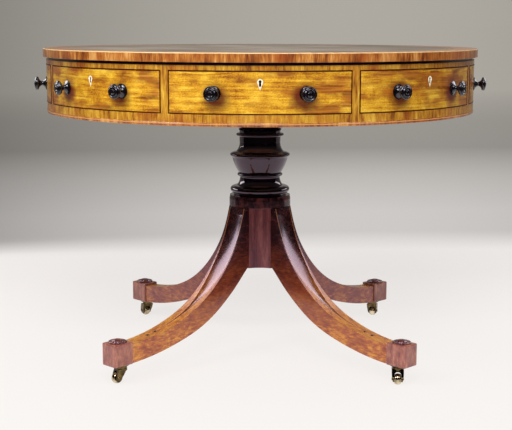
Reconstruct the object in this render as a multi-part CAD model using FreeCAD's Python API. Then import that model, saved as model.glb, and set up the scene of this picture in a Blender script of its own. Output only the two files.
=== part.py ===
import FreeCAD, Part
import math
import os

# A revolving drum table on a turned column with four sabre legs, in millimetres.
# The origin is on the floor under the column, +Z is up, and the front drawer faces -Y.
# Azimuths are in degrees, counted from -Y towards +X.

Vector = FreeCAD.Vector
UP = Vector(0, 0, 1)
ACROSS = Vector(1, 0, 0)
FULL_TURN = 360.0
RIGHT_ANGLE = 90.0
ROOT_TWO = math.sqrt(2)

# The drum as a whole
top_diameter = 1066.0
drum_depth = 153.0
bay_count = 8
leg_count = 4

# The round top: a board, a lining of leather and a veneered border that turns down over the edge
top_thickness = 20.0
top_overhang = 7.6
border_width = 55.0
leather_thickness = 1.8
edge_veneer = 2.5
border_arris = 1.6
edge_lower_arris = 0.8

# The frieze: rails above and below the fronts, upright stiles between them, a base board below
frieze_thickness = 22.0
top_rail_height = 16.4
bottom_rail_height = 17.4
stile_width = 17.0
shadow_gap_height = 5.2
shadow_gap_depth = 8.0
base_edge_height = 7.6
base_edge_proud = 0.9
base_board_thickness = 17.6

# The fronts of the bays, each with an ebonised bead let in round it
front_gap = 0.7
bead_width = 1.9
bead_depth = 4.2
bead_proud = 0.8
sham_tongue = 8.0

# The drawers
box_gap = 1.5
corner_gap = 2.0
side_thickness = 9.0
side_headroom = 10.4
bottom_thickness = 6.0
bottom_groove_height = 3.0
partition_gap = 2.0
partition_thickness = 10.0
runner_width = 15.0
runner_gap = 0.3
kicker_gap = 0.5
stop_gap = 0.5

# The turned knobs
knob_spacing = 194.4
knob_drop = 1.8
knob_radius = 16.0
knob_projection = 30.0
knob_stem_radius = 4.5
knob_stem_gap = 0.1

# The inlaid escutcheons, their keyholes and the locks behind them
escutcheon_width = 13.4
escutcheon_height = 24.4
escutcheon_drop = 28.3
escutcheon_thickness = 1.6
escutcheon_proud = 0.3
keyhole_radius = 3.0
keyhole_rise = 6.2
keyhole_slot_width = 4.4
keyhole_slot_length = 10.2
sham_keyhole_depth = 6.0
lock_width = 56.0
lock_height = 34.0
lock_depth = 10.0
lock_inset = 3.0
lock_gap = 0.15
lock_boss_radius = 7.0
lock_boss_height = 1.5

# The turning gear: a bearer plate on the column, an iron pin and a bearing block in the drum
bearer_radius = 150.0
bearer_thickness = 22.0
turning_gap = 0.3
pin_radius = 16.0
pin_fit = 0.06
pin_depth_below = 60.0
pin_rise_above = 72.0
pin_seat_gap = 0.2
pin_point = 4.0
bearing_width = 130.0
bearing_height = 42.0

# The turned column
column_height = 192.7
column_radius = 75.4
spigot_radius = 22.0
spigot_length = 96.0
spigot_gap = 0.2

# The eight-sided block under the column, with a round collar and hollowed faces
block_height = 151.5
collar_height = 27.0
collar_overhang = 4.1
collar_slope_height = 9.0
collar_slope_width = 1.7
collar_round = 1.5
facet_width = 54.0
facet_hollow = 6.0

# The sabre legs
leg_root_width = 58.0
leg_tip_width = 38.0
leg_tip_radius = 436.0
leg_rise = 325.0
leg_root_lift = 6.5
tongue_depth = 14.0
tongue_neck_width = 18.0
tongue_tail_width = 25.0
tongue_stop = 18.0
tongue_gap = 0.2
peg_radius = 2.8
peg_depth = 6.0
peg_proud = 0.3

# The foot blocks and the turned roundels on them
foot_length = 55.0
foot_width = 46.0
foot_height = 53.0
foot_round = 3.0
roundel_radius = 21.0
roundel_height = 8.0

# The iron strap that ties the legs under the block
strap_width = 24.0
strap_thickness = 3.0
strap_arm = 48.0

# The brass casters
caster_setback = 10.5
caster_trail = 12.0
caster_plate_margin = 5.0
caster_plate_thickness = 2.7
caster_gap = 0.3
pintle_radius = 4.0
pintle_fit = 0.06
pintle_head_radius = 6.2
pintle_head_height = 2.4
hub_radius = 13.0
hub_height = 12.0
bridge_height = 5.0
wheel_radius = 13.0
wheel_width = 15.0
wheel_headroom = 4.0
wheel_crown = 2.4
wheel_recess_radius = 9.0
wheel_recess_depth = 1.4
wheel_hub_radius = 5.0
cheek_gap = 0.5
cheek_thickness = 4.5
cheek_toe_thickness = 2.8
cheek_end_radius = 7.5
shoulder_spread = 1.5
axle_radius = 2.5
axle_fit = 0.06
axle_seat_gap = 0.05
axle_head_radius = 4.2
axle_head_height = 1.6

# The wood screws in the caster plates and the strap
screw_head_radius = 2.2
screw_head_height = 1.5
screw_shank_radius = 1.4
screw_length = 13.0
plate_screw_count = 3
strap_screw_radius = 40.0

overrun = 5.0
slit = 0.02

# Places worked out from those sizes
hub_bottom = 2 * wheel_radius + wheel_headroom
plate_bottom = hub_bottom + hub_height + caster_gap
leg_base = plate_bottom + caster_plate_thickness
collar_bottom = leg_base + leg_rise
block_bottom = collar_bottom - block_height
column_foot = collar_bottom + collar_height
column_top = column_foot + column_height
bearer_top = column_top + bearer_thickness
drum_bottom = bearer_top + turning_gap
table_height = drum_bottom + drum_depth
top_radius = top_diameter / 2
top_underside = table_height - top_thickness
top_bed = table_height - leather_thickness
leather_radius = top_radius - border_width
frieze_radius = top_radius - top_overhang
frieze_inner = frieze_radius - frieze_thickness
rail_bottom = drum_bottom + base_edge_height
opening_low = rail_bottom + bottom_rail_height
opening_high = top_underside - top_rail_height
base_top = drum_bottom + base_board_thickness
front_low = opening_low + front_gap
front_high = opening_high - front_gap
front_middle = (front_low + front_high) / 2
bay_angle = FULL_TURN / bay_count
quarter = FULL_TURN / leg_count
escutcheon_middle = front_high - escutcheon_drop
side_low = opening_low + front_gap
side_high = opening_high - side_headroom
block_corner = facet_width / ROOT_TWO + leg_root_width / 2
facet_distance = (block_corner + leg_root_width / 2) / ROOT_TWO
collar_radius = math.hypot(facet_distance, facet_width / 2) + collar_overhang
collar_top_radius = collar_radius - collar_slope_width
leg_reach = leg_tip_radius - block_corner
root_rise = block_bottom + leg_root_lift - leg_base
strap_reach = facet_distance + strap_arm
foot_centre = leg_tip_radius + foot_length / 2
caster_radius = foot_centre - caster_setback
caster_plate_radius = hub_radius + caster_plate_margin
cheek_near = wheel_width / 2 + cheek_gap
cheek_far = cheek_near + cheek_thickness
toe_far = cheek_near + cheek_toe_thickness
shoulder = cheek_far + shoulder_spread


def arc_degrees(length):
    """The angle that a length covers on the face of the frieze."""
    return math.degrees(length / frieze_radius)


opening_angle = bay_angle / 2 - arc_degrees(stile_width / 2)
front_angle = opening_angle - arc_degrees(front_gap)
panel_angle = front_angle - arc_degrees(bead_width)
half_width = frieze_inner * math.sin(math.radians(opening_angle)) - box_gap
partition_near = half_width + partition_gap
partition_far = partition_near + partition_thickness
box_back = partition_far + corner_gap

# The column's turning as shares of its height and its widest radius: one pair is a straight
# step, two pairs are the middle and the end of an arc
column_start_shares = (0.0, 0.875)
column_step_shares = (
    ((0.028, 0.875),),
    ((0.036, 0.930),),
    ((0.074, 0.990), (0.112, 0.930)),
    ((0.121, 0.868),),
    ((0.128, 0.768),),
    ((0.168, 0.703), (0.232, 0.668)),
    ((0.243, 0.672),),
    ((0.246, 0.718),),
    ((0.267, 0.756), (0.288, 0.718)),
    ((0.291, 0.690),),
    ((0.303, 0.730),),
    ((0.390, 0.848), (0.487, 0.930)),
    ((0.503, 0.950),),
    ((0.528, 1.000), (0.553, 0.955)),
    ((0.566, 0.880),),
    ((0.574, 0.790),),
    ((0.628, 0.706), (0.700, 0.684)),
    ((0.765, 0.690),),
    ((0.769, 0.752),),
    ((0.789, 0.796), (0.809, 0.752)),
    ((0.813, 0.684),),
    ((0.843, 0.690),),
    ((0.868, 0.800), (0.905, 0.960)),
    ((0.940, 1.020),),
    ((1.000, 1.050),),
)

# The leg's upper and lower curves as shares of its reach from the block and of a rise: to the
# collar for the upper one, to the root's lower end for the lower one
leg_upper_shares = (
    (0.035, 1.000), (0.070, 0.865), (0.116, 0.735), (0.184, 0.606), (0.257, 0.502),
    (0.360, 0.391), (0.482, 0.298), (0.631, 0.225), (0.797, 0.173), (1.000, 0.143),
)
leg_lower_shares = (
    (1.000, 0.005), (0.786, 0.061), (0.631, 0.135), (0.455, 0.256), (0.325, 0.397),
    (0.211, 0.572), (0.124, 0.733), (0.062, 0.868), (0.000, 1.000),
)

# The hollow down the top of the leg: places along the reach, with the share of the width it takes
flute_shares = (
    (0.046, 0.87), (0.070, 0.88), (0.105, 0.88), (0.155, 0.86), (0.225, 0.78),
    (0.300, 0.62), (0.375, 0.43), (0.455, 0.25), (0.550, 0.11), (0.680, 0.03),
)
flute_depth_share = 0.045
peg_shares = (0.770, 0.832)
strap_screw_share = 0.085

# The knob's turning as shares of its projection and its radius
knob_start_shares = (0.0, 1.00)
knob_step_shares = (
    ((0.05, 1.00),),
    ((0.16, 0.58), (0.32, 0.36)),
    ((0.38, 0.33), (0.44, 0.36)),
    ((0.55, 0.52), (0.63, 0.86)),
    ((0.77, 1.02), (0.90, 0.90)),
    ((0.90, 0.82),),
    ((0.92, 0.76),),
    ((0.90, 0.70),),
    ((0.95, 0.60),),
    ((0.965, 0.50), (0.96, 0.40)),
    ((0.945, 0.33),),
    ((0.98, 0.25),),
    ((0.995, 0.15), (1.00, 0.04)),
)

# The escutcheon's kite as shares of its half width and half height, widest in its upper third
shield_start_shares = (0.00, -1.00)
shield_step_shares = (
    ((1.00, 0.46),),
    ((0.66, 0.78), (0.00, 1.00)),
    ((-0.66, 0.78), (-1.00, 0.46)),
    ((0.00, -1.00),),
)

# The roundel on each foot as shares of its height and its radius
roundel_start_shares = (0.0, 1.0)
roundel_step_shares = (
    ((0.25, 1.03), (0.45, 0.92)),
    ((0.38, 0.80),),
    ((0.36, 0.72),),
    ((0.62, 0.66),),
    ((0.90, 0.42), (1.00, 0.04)),
)

# The rest headings of the casters: which way each wheel trails
caster_headings = {
    "front_left": -60.0,
    "front_right": -4.0,
    "rear_right": 165.0,
    "rear_left": -150.0,
}
corner_azimuths = {
    "front_left": -RIGHT_ANGLE / 2,
    "front_right": RIGHT_ANGLE / 2,
    "rear_right": RIGHT_ANGLE + RIGHT_ANGLE / 2,
    "rear_left": -RIGHT_ANGLE - RIGHT_ANGLE / 2,
}
drawer_azimuths = {
    "front": 0.0,
    "right": RIGHT_ANGLE,
    "back": 2 * RIGHT_ANGLE,
    "left": -RIGHT_ANGLE,
}
sham_azimuths = tuple(corner_azimuths.values())


def polar(radius, azimuth, height):
    """The point at a radius, an azimuth and a height."""
    angle = math.radians(azimuth)
    return Vector(radius * math.sin(angle), -radius * math.cos(angle), height)


def turned(shape, azimuth):
    """A copy turned about the table's axis."""
    copy = shape.copy()
    copy.rotate(Vector(0, 0, 0), UP, azimuth)
    return copy


def moved(shape, offset):
    """A copy moved by an offset."""
    copy = shape.copy()
    copy.translate(offset)
    return copy


def post(radius, low, high, place=Vector(0, 0, 0)):
    """An upright round bar between two heights."""
    return Part.makeCylinder(radius, high - low, place + Vector(0, 0, low))


def ring(inner, outer, low, high):
    """A round band about the table's axis."""
    return post(outer, low, high).cut(post(inner, low - overrun, high + overrun))


def slab(low_corner, high_corner):
    """A box between two corners."""
    size = high_corner - low_corner
    return Part.makeBox(size.x, size.y, size.z, low_corner)


def prism(points, direction):
    """A solid with a straight-sided outline."""
    outline = Part.makePolygon(points + points[:1])
    return Part.Face(outline).extrude(direction)


def sector(inner, outer, half_angle, low, high):
    """A bowed block centred on the front, with radial ends."""
    far = (polar(outer, -half_angle, low), polar(outer, 0, low), polar(outer, half_angle, low))
    near = (polar(inner, half_angle, low), polar(inner, 0, low), polar(inner, -half_angle, low))
    edges = [
        Part.Arc(*far).toShape(),
        Part.makeLine(far[-1], near[0]),
        Part.Arc(*near).toShape(),
        Part.makeLine(near[-1], far[0]),
    ]
    return Part.Face(Part.Wire(edges)).extrude(Vector(0, 0, high - low))


def trail(start, steps):
    """Edges from a start: a step of one point is a line, one of two is an arc's middle and end."""
    edges = []
    here = start
    for *middle, end in steps:
        if middle:
            edges.append(Part.Arc(here, *middle, end).toShape())
        else:
            edges.append(Part.makeLine(here, end))
        here = end
    return edges


def lathe(start_shares, step_shares, height, radius, foot=0.0):
    """A solid of revolution about Z from a turning in shares of a height and a radius."""
    def place(height_share, radius_share):
        return Vector(radius * radius_share, 0, foot + height * height_share)

    start = place(*start_shares)
    steps = [[place(*pair) for pair in step] for step in step_shares]
    edges = trail(start, steps)
    end = steps[-1][-1]
    floor = Vector(0, 0, start.z)
    ceiling = Vector(0, 0, end.z)
    edges.append(Part.makeLine(end, ceiling))
    edges.append(Part.makeLine(ceiling, floor))
    edges.append(Part.makeLine(floor, start))
    return Part.Face(Part.Wire(edges)).revolve(Vector(0, 0, 0), UP, FULL_TURN)


def arris(radius, height, round_radius, above):
    """The waste to cut from a disc's outer edge to leave it round, above or below."""
    side = 1 if above else -1
    corner = Vector(radius, 0, height)
    inside = corner - Vector(round_radius, 0, 0)
    below = corner - Vector(0, 0, side * round_radius)
    centre = inside - Vector(0, 0, side * round_radius)
    middle = centre + Vector(round_radius, 0, side * round_radius) / ROOT_TWO
    edges = [
        Part.makeLine(inside, corner),
        Part.makeLine(corner, below),
        Part.Arc(below, middle, inside).toShape(),
    ]
    return Part.Face(Part.Wire(edges)).revolve(Vector(0, 0, 0), UP, FULL_TURN)


def outward(shape, azimuth, radius, height):
    """A shape made about Z, laid down to point outwards from a place on a round face."""
    copy = shape.copy()
    copy.rotate(Vector(0, 0, 0), ACROSS, RIGHT_ANGLE)
    copy.translate(Vector(0, -radius, height))
    return turned(copy, azimuth)


def group(shapes):
    """Separate solids kept in one piece of the model."""
    return Part.makeCompound(shapes)


# The top

def top_board():
    return post(top_radius - edge_veneer, top_underside, top_bed)


def top_banding():
    border = ring(leather_radius, top_radius, top_bed, table_height)
    rim = ring(top_radius - edge_veneer, top_radius, top_underside, table_height)
    band = border.fuse(rim).removeSplitter()
    band = band.cut(arris(top_radius, table_height, border_arris, True))
    return band.cut(arris(top_radius, top_underside, edge_lower_arris, False))


def leather_top():
    return post(leather_radius, top_bed, table_height)


# The frieze and the base

def top_rail():
    rail = ring(frieze_inner, frieze_radius, opening_high, top_underside)
    gap_low = top_underside - shadow_gap_height
    return rail.cut(ring(frieze_radius - shadow_gap_depth, top_radius, gap_low, table_height))


def bottom_rail():
    return ring(frieze_inner, frieze_radius, rail_bottom, opening_low)


def base_board():
    lip = Vector(frieze_radius, 0, drum_bottom)
    lip_top = Vector(frieze_radius, 0, rail_bottom)
    bulge = Vector(frieze_radius + base_edge_proud, 0, (drum_bottom + rail_bottom) / 2)
    edges = [
        Part.makeLine(Vector(0, 0, drum_bottom), lip),
        Part.Arc(lip, bulge, lip_top).toShape(),
        Part.makeLine(lip_top, Vector(frieze_inner, 0, rail_bottom)),
        Part.makeLine(Vector(frieze_inner, 0, rail_bottom), Vector(frieze_inner, 0, base_top)),
        Part.makeLine(Vector(frieze_inner, 0, base_top), Vector(0, 0, base_top)),
        Part.makeLine(Vector(0, 0, base_top), Vector(0, 0, drum_bottom)),
    ]
    board = Part.Face(Part.Wire(edges)).revolve(Vector(0, 0, 0), UP, FULL_TURN)
    return board.cut(post(pin_radius + pin_seat_gap, drum_bottom - overrun, base_top + overrun))


def stiles():
    half = bay_angle / 2 - opening_angle
    stile = sector(frieze_inner, frieze_radius, half, opening_low, opening_high)
    first = turned(stile, bay_angle / 2)
    return group([turned(first, bay_angle * place) for place in range(bay_count)])


def boards_beside_drawers(near, far, low, high, end_radius):
    """Two boards, one each side of every drawer, between two heights, ending at a radius."""
    reach = post(end_radius, low - overrun, high + overrun)
    boards = []
    for azimuth in drawer_azimuths.values():
        for left, right in ((-far, -near), (near, far)):
            low_corner = Vector(left, -frieze_radius, low)
            high_corner = Vector(right, -box_back, high)
            boards.append(turned(slab(low_corner, high_corner).common(reach), azimuth))
    return boards


def partitions():
    return group(boards_beside_drawers(
        partition_near, partition_far, base_top, top_underside, frieze_inner
    ))


def drawer_runners():
    near = partition_near - runner_width
    end = frieze_inner - stop_gap
    lower = boards_beside_drawers(near, partition_near, base_top, side_low - runner_gap, end)
    upper = boards_beside_drawers(near, partition_near, side_high + kicker_gap, top_underside, end)
    return group(lower + upper)


def bearing_block():
    half = bearing_width / 2
    block = slab(Vector(-half, -half, base_top), Vector(half, half, base_top + bearing_height))
    bore = post(pin_radius + pin_fit, base_top - overrun, base_top + bearing_height + overrun)
    return block.cut(bore)


# The fronts of the bays

def knob_places():
    """The azimuths of the two knobs from the middle of a bay."""
    angle = math.degrees(math.asin(knob_spacing / 2 / frieze_radius))
    return (-angle, angle)


def front_panel():
    """A bowed front with a rebate round its face for the bead."""
    back = sector(frieze_inner, frieze_radius - bead_depth, front_angle, front_low, front_high)
    face_low = front_low + bead_width
    face_high = front_high - bead_width
    face = sector(frieze_radius - bead_depth, frieze_radius, panel_angle, face_low, face_high)
    return back.fuse(face).removeSplitter()


def front_bead():
    """The bead: a bowed frame that fills the rebate and stands a little proud."""
    near = frieze_radius - bead_depth
    far = frieze_radius + bead_proud
    outer = sector(near, far, front_angle, front_low, front_high)
    window_low = front_low + bead_width
    window_high = front_high - bead_width
    window = sector(near - overrun, far + overrun, panel_angle, window_low, window_high)
    return outer.cut(window)


def knob():
    """A knob about Z with its base at zero, and its stem below."""
    turned_knob = lathe(knob_start_shares, knob_step_shares, knob_projection, knob_radius)
    stem = post(knob_stem_radius, -frieze_thickness, overrun)
    return turned_knob.fuse(stem).removeSplitter()


def knob_pair():
    height = front_middle - knob_drop
    return [outward(knob(), azimuth, frieze_radius, height) for azimuth in knob_places()]


def knob_holes(depth):
    hole = post(knob_stem_radius + knob_stem_gap, -depth, overrun)
    height = front_middle - knob_drop
    return [outward(hole, azimuth, frieze_radius, height) for azimuth in knob_places()]


def shield(depth, proud):
    """The escutcheon's shield, from a depth under the face to a little proud of it."""
    half = escutcheon_width / 2
    tip = escutcheon_height / 2
    back = -(frieze_radius - depth)

    def place(across_share, up_share):
        return Vector(half * across_share, back, escutcheon_middle + tip * up_share)

    steps = [[place(*pair) for pair in step] for step in shield_step_shares]
    edges = trail(place(*shield_start_shares), steps)
    return Part.Face(Part.Wire(edges)).extrude(Vector(0, -(depth + proud), 0))


def keyhole(depth):
    """The keyhole: a round eye over a slot, cut inwards from the face."""
    eye_height = escutcheon_middle + keyhole_rise
    eye = outward(post(keyhole_radius, -depth, overrun), 0, frieze_radius, eye_height)
    half = keyhole_slot_width / 2
    slot_low = Vector(-half, -(frieze_radius + overrun), eye_height - keyhole_slot_length)
    slot_high = Vector(half, -(frieze_radius - depth), eye_height)
    return eye.fuse(slab(slot_low, slot_high))


def escutcheon():
    return shield(escutcheon_thickness, escutcheon_proud).cut(keyhole(overrun))


def lock_case(gap):
    """The lock, let in to the back of the front, grown by a gap for its recess."""
    half = lock_width / 2 + gap
    rise = lock_height / 2 + gap
    back = -(frieze_inner + lock_inset + gap)
    low_corner = Vector(-half, back, escutcheon_middle - rise)
    high_corner = Vector(half, back + lock_depth + gap, escutcheon_middle + rise)
    return slab(low_corner, high_corner)


def lock():
    case = lock_case(0)
    face = frieze_inner + lock_inset - lock_depth
    boss = post(lock_boss_radius, -lock_boss_height, lock_depth / 2)
    return case.fuse(outward(boss, 0, face, escutcheon_middle)).removeSplitter()


def drawer_front():
    front = front_panel().cut(shield(escutcheon_thickness, overrun))
    front = front.cut(keyhole(frieze_thickness + overrun))
    front = front.cut(lock_case(lock_gap))
    for hole in knob_holes(frieze_thickness + overrun):
        front = front.cut(hole)
    return front


def sham_front():
    """A fixed front: the same face on a tongue that fills its opening behind."""
    tongue_face = frieze_inner + sham_tongue
    tongue = sector(frieze_inner, tongue_face, opening_angle, opening_low, opening_high)
    front = front_panel().fuse(tongue).removeSplitter()
    front = front.cut(shield(escutcheon_thickness, overrun))
    front = front.cut(keyhole(sham_keyhole_depth))
    for hole in knob_holes(frieze_thickness + overrun):
        front = front.cut(hole)
    return front


def drawer_box():
    """Two sides, a back and a bottom, with their front ends cut to the bow of the front."""
    inner = half_width - side_thickness
    bottom_low = side_low + bottom_groove_height
    bottom_high = bottom_low + bottom_thickness
    corners = (
        (Vector(-half_width, -frieze_radius, side_low), Vector(-inner, -box_back, side_high)),
        (Vector(inner, -frieze_radius, side_low), Vector(half_width, -box_back, side_high)),
        (Vector(-inner, -frieze_radius, bottom_low), Vector(inner, -box_back, bottom_high)),
        (
            Vector(-inner, -box_back - side_thickness, bottom_high),
            Vector(inner, -box_back, side_high),
        ),
    )
    bow = post(frieze_inner, side_low - overrun, side_high + overrun)
    return group([slab(*pair).common(bow) for pair in corners])


# The pedestal

def column():
    turning = lathe(
        column_start_shares, column_step_shares, column_height, column_radius, column_foot
    )
    spigot = post(spigot_radius, column_foot - spigot_length, column_foot + overrun)
    socket = post(pin_radius + pin_seat_gap, column_top - pin_depth_below, column_top + overrun)
    return turning.fuse(spigot).removeSplitter().cut(socket)


def bearer_plate():
    plate = post(bearer_radius, column_top, bearer_top)
    return plate.cut(post(pin_radius + pin_seat_gap, column_top - overrun, bearer_top + overrun))


def turning_pin():
    low = column_top - pin_depth_below
    high = base_top + pin_rise_above
    pin = post(pin_radius, low, high)
    return pin.cut(arris(pin_radius, high, pin_point, True))


def block_body():
    points = []
    for place in range(leg_count):
        for side in (-1, 1):
            corner = Vector(side * facet_width / 2, -facet_distance, block_bottom)
            corner = FreeCAD.Rotation(UP, quarter * place).multVec(corner)
            points.append(corner)
    return prism(points, Vector(0, 0, collar_bottom - block_bottom))


def facet_scoop():
    """The round bar that hollows one face of the block."""
    half = facet_width / 2
    radius = (half ** 2 + facet_hollow ** 2) / (2 * facet_hollow)
    centre = Vector(0, -(facet_distance - facet_hollow + radius), 0)
    return post(radius, block_bottom - overrun, collar_bottom, centre)


def collar():
    slope_foot = column_foot - collar_slope_height
    band = post(collar_radius, collar_bottom, slope_foot)
    cap = Part.makeCone(
        collar_radius, collar_top_radius, collar_slope_height, Vector(0, 0, slope_foot)
    )
    whole = band.fuse(cap).removeSplitter()
    whole = whole.cut(arris(collar_radius, collar_bottom, collar_round, False))
    return whole.cut(arris(collar_top_radius, column_foot, collar_round, True))


def tongue(gap, low, high):
    """A leg's dovetail tongue, pointing to the axis, grown by a gap for its slot."""
    neck = tongue_neck_width / 2 + gap
    tail = tongue_tail_width / 2 + gap
    back = -(block_corner - tongue_depth - gap)
    points = [
        Vector(-neck, -block_corner - slit, low),
        Vector(neck, -block_corner - slit, low),
        Vector(tail, back, low),
        Vector(-tail, back, low),
    ]
    return prism(points, Vector(0, 0, high - low))


def pedestal_block():
    block = block_body()
    for place in range(leg_count):
        block = block.cut(turned(facet_scoop(), quarter * place))
    block = block.fuse(collar()).removeSplitter()
    slot_top = collar_bottom - tongue_stop + tongue_gap
    slot = tongue(tongue_gap, block_bottom - overrun, slot_top)
    for azimuth in corner_azimuths.values():
        block = block.cut(turned(slot, azimuth))
    low = column_foot - spigot_length - spigot_gap
    return block.cut(post(spigot_radius + spigot_gap, low, column_foot + overrun))


# The legs, made pointing to the front and then turned to their corners

def leg_point(reach_share, rise_share, rise):
    """A point in the leg's side view, at a share of its reach and of a rise."""
    reach = block_corner + leg_reach * reach_share
    return Vector(0, -reach, leg_base + rise * rise_share)


def smooth(shares, rise):
    """A smooth curve through the points of one side of the leg."""
    curve = Part.BSplineCurve()
    curve.interpolate([leg_point(*pair, rise) for pair in shares])
    return curve


def upper_curve():
    return smooth(leg_upper_shares, leg_rise)


def lower_curve():
    return smooth(leg_lower_shares, root_rise)


def leg_width_at(reach_share):
    return leg_root_width + (leg_tip_width - leg_root_width) * reach_share


def on_curve(curve, reach_share):
    """The point and the outward normal of one of the leg's curves at a share of the reach."""
    target = -(block_corner + leg_reach * reach_share)
    low = curve.FirstParameter
    high = curve.LastParameter
    inwards = curve.value(high).y > curve.value(low).y
    while high - low > slit * (curve.LastParameter - curve.FirstParameter) / leg_reach:
        middle = (low + high) / 2
        if (curve.value(middle).y > target) == inwards:
            high = middle
        else:
            low = middle
    along = curve.tangent(low)[0]
    return curve.value(low), along.cross(ACROSS)


def leg_blank():
    """The leg's side outline, before it is tapered in plan."""
    upper = upper_curve()
    lower = lower_curve()
    collar_corner = leg_point(0, 1, leg_rise)
    edges = [
        Part.makeLine(collar_corner, upper.StartPoint),
        upper.toShape(),
        Part.makeLine(upper.EndPoint, lower.StartPoint),
        lower.toShape(),
        Part.makeLine(lower.EndPoint, collar_corner),
    ]
    face = Part.Face(Part.Wire(edges))
    face.translate(Vector(-leg_root_width / 2, 0, 0))
    return face.extrude(Vector(leg_root_width, 0, 0))


def leg_plan():
    """The leg's outline from above, wider at the block than at the foot."""
    root = leg_root_width / 2
    tip = leg_tip_width / 2
    points = [
        Vector(-root, -block_corner, leg_base - overrun),
        Vector(root, -block_corner, leg_base - overrun),
        Vector(tip, -leg_tip_radius, leg_base - overrun),
        Vector(-tip, -leg_tip_radius, leg_base - overrun),
    ]
    return prism(points, Vector(0, 0, leg_rise + 2 * overrun))


def flute():
    """The waste from the hollow that runs down the top of the leg to a point."""
    wires = []
    for reach_share, width_share in flute_shares:
        centre, normal = on_curve(upper_curve(), reach_share)
        half = leg_width_at(reach_share) * width_share / 2
        left = centre - ACROSS * half
        right = centre + ACROSS * half
        lift = normal * overrun
        bottom = centre - normal * (2 * half * flute_depth_share)
        wires.append(Part.Wire([
            Part.Arc(left, bottom, right).toShape(),
            Part.makeLine(right, right + lift),
            Part.makeLine(right + lift, left + lift),
            Part.makeLine(left + lift, left),
        ]))
    return Part.makeLoft(wires, True, False)


def peg(reach_share, proud):
    """A round peg set square into the top of the leg."""
    centre, normal = on_curve(upper_curve(), reach_share)
    return Part.makeCylinder(peg_radius, peg_depth + proud, centre - normal * peg_depth, normal)


def leg():
    body = leg_blank().common(leg_plan())
    key = tongue(0, block_bottom + leg_root_lift, collar_bottom - tongue_stop)
    body = body.fuse(key).removeSplitter()
    body = body.cut(flute())
    for reach_share in peg_shares:
        body = body.cut(peg(reach_share, overrun))
    for shape in arm_screws():
        body = body.cut(shape)
    return body


def leg_pegs():
    pegs = [peg(reach_share, peg_proud) for reach_share in peg_shares]
    return group([turned(one, azimuth) for azimuth in corner_azimuths.values() for one in pegs])


def foot_blocks():
    half = foot_width / 2
    low_corner = Vector(-half, -(leg_tip_radius + foot_length), leg_base)
    high_corner = Vector(half, -leg_tip_radius, leg_base + foot_height)
    block = slab(low_corner, high_corner)
    block = block.makeFillet(foot_round, block.Edges)
    for shape in corner_screws():
        block = block.cut(shape)
    return group([turned(block, azimuth) for azimuth in corner_azimuths.values()])


def foot_roundels():
    roundel = lathe(
        roundel_start_shares, roundel_step_shares,
        roundel_height, roundel_radius, leg_base + foot_height,
    )
    roundel.translate(Vector(0, -foot_centre, 0))
    return group([turned(roundel, azimuth) for azimuth in corner_azimuths.values()])


# The strap and the screws

def screw(place, direction):
    """A countersunk screw whose head is flush at a place and whose point lies along a direction."""
    head = Part.makeCone(
        screw_head_radius, screw_shank_radius, screw_head_height, place, direction
    )
    shank = Part.makeCylinder(screw_shank_radius, screw_length, place, direction)
    return head.fuse(shank).removeSplitter()


def corner_screws():
    """The screws of one caster plate, for the corner that faces the front."""
    circle = (hub_radius + caster_plate_radius) / 2
    screws = []
    for place in range(plate_screw_count):
        spot = polar(circle, FULL_TURN * place / plate_screw_count, plate_bottom)
        screws.append(screw(spot + Vector(0, -caster_radius, 0), UP))
    return screws


def arm_screws():
    """The two screws of one arm of the strap: into the block and into the leg."""
    under_block = Vector(0, -strap_screw_radius, block_bottom - strap_thickness)
    on_leg, normal = on_curve(lower_curve(), strap_screw_share)
    return [screw(under_block, UP), screw(on_leg + normal * strap_thickness, -normal)]


def strap_screws():
    return [turned(one, azimuth) for azimuth in corner_azimuths.values() for one in arm_screws()]


def wood_screws():
    screws = strap_screws()
    for azimuth in corner_azimuths.values():
        screws += [turned(shape, azimuth) for shape in corner_screws()]
    return group(screws)


def leg_strap(block, one_leg):
    """Four arms under the block, each bent down along the underside of its leg."""
    shift = strap_thickness / ROOT_TWO
    bent = leg_blank()
    bent.translate(Vector(0, shift, -shift))
    half = strap_width / 2
    window = slab(
        Vector(-half, -strap_reach, leg_base), Vector(half, -facet_distance, block_bottom)
    )
    bent = bent.common(window)
    flat = slab(
        Vector(-half, -strap_reach, block_bottom - strap_thickness),
        Vector(half, 0, block_bottom),
    )
    arm = bent.fuse(flat).cut(one_leg)
    strap = turned(arm, corner_azimuths["front_left"])
    for name in list(corner_azimuths)[1:]:
        strap = strap.fuse(turned(arm, corner_azimuths[name]))
    strap = strap.cut(block).removeSplitter()
    for shape in strap_screws():
        strap = strap.cut(shape)
    return strap


# The casters, made about their own swivel axis with the wheel trailing to the front

def caster_plates():
    plate = post(caster_plate_radius, plate_bottom, leg_base)
    head_top = hub_bottom - caster_gap
    pintle = post(pintle_radius, head_top, plate_bottom + slit)
    head = post(pintle_head_radius, head_top - pintle_head_height, head_top)
    whole = moved(plate.fuse(pintle).fuse(head).removeSplitter(), Vector(0, -caster_radius, 0))
    for shape in corner_screws():
        whole = whole.cut(shape)
    return group([turned(whole, azimuth) for azimuth in corner_azimuths.values()])


def cross_bar(radius, near, far):
    """A round bar on the wheel's axis between two places across the caster."""
    return Part.makeCylinder(radius, far - near, Vector(near, -caster_trail, wheel_radius), ACROSS)


def fork_side():
    """The fork as seen from the side: a band that leans from the hub to the eye of the axle."""
    bridge_top = hub_bottom + bridge_height
    points = [
        Vector(-shoulder, -caster_trail - cheek_end_radius, wheel_radius),
        Vector(-shoulder, -caster_trail + cheek_end_radius, wheel_radius),
        Vector(-shoulder, cheek_end_radius, bridge_top),
        Vector(-shoulder, -caster_trail, bridge_top),
    ]
    band = prism(points, ACROSS * 2 * shoulder)
    return band.fuse(cross_bar(cheek_end_radius, -shoulder, shoulder))


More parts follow.
